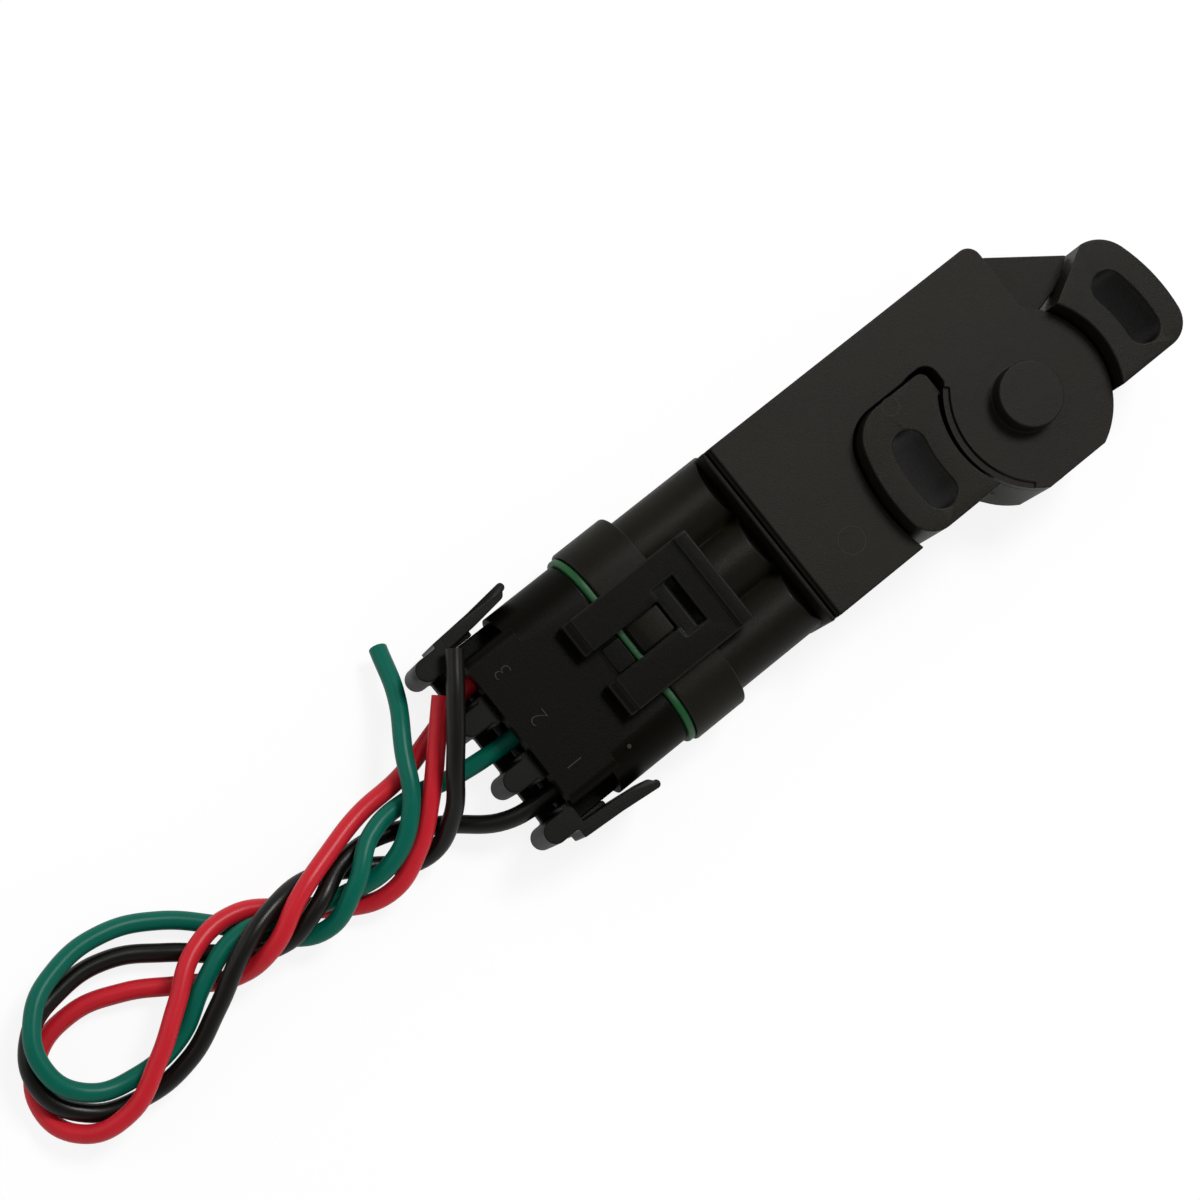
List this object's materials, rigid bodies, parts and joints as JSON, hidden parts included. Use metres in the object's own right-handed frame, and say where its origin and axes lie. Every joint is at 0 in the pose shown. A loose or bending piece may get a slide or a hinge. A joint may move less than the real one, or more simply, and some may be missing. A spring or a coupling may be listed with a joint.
{
  "type": "throttle position sensor with wired plug",
  "caption": "Black throttle position sensor with slotted mounting ears, a drive rotor underneath, a sealed connector with its latched plug, and a loosely coiled pigtail of coloured leads.",
  "frame": {"origin": "on the rotor's axis in the mounting face, at the mouth of the pilot recess", "axes": "+X towards the ear farthest from the connector, along the connector's leads; +Y towards the side on which the connector is offset; +Z out of the mounting face, through the cover plate"},
  "size_m": [0.185, 0.0401, 0.0167],
  "materials": {
    "housing_plastic": "glass-filled moulding with a fine grain",
    "cover_plastic": "moulded flat with a fine grain",
    "plug_plastic": "moulded, slightly smoother than the housing",
    "lock_plastic": "moulded",
    "rotor_plastic": "natural acetal",
    "wiper_alloy": "stamped spring alloy",
    "track_board": "laminate with printed carbon tracks",
    "spring_steel": "bright spring wire",
    "black_rubber": "moulded",
    "green_rubber": "moulded silicone",
    "tinned_contact": "tin-plated",
    "red_lead": "extruded insulation",
    "green_lead": "extruded insulation",
    "black_lead": "extruded insulation"
  },
  "bodies": {
    "sensor_body": {"housing": "housing_plastic", "cover_plate": "cover_plastic", "element_board": "track_board", "return_spring": "spring_steel", "shaft_seal": "black_rubber", "mount_seal": "black_rubber", "terminal_pin_1": "tinned_contact", "terminal_pin_2": "tinned_contact", "terminal_pin_3": "tinned_contact", "plug_housing": "plug_plastic", "plug_seal": "green_rubber", "wire_lock": "lock_plastic", "cable_seal_1": "green_rubber", "cable_seal_2": "green_rubber", "cable_seal_3": "green_rubber", "socket_terminal_1": "tinned_contact", "socket_terminal_2": "tinned_contact", "socket_terminal_3": "tinned_contact", "wire_red": "red_lead", "wire_green": "green_lead", "wire_black": "black_lead"},
    "rotor_assembly": {"rotor": "rotor_plastic", "wiper": "wiper_alloy"}
  },
  "joints": [
    {"name": "rotor_turn", "type": "hinge", "parent": "sensor_body", "child": "rotor_assembly", "pos_m": [0, 0, 0], "axis": [0, 0, 1], "range_deg": [0, 95], "stiffness_Nm_per_rad": 0.012, "springref_deg": -20.05, "deforming": ["return_spring"]}
  ]
}
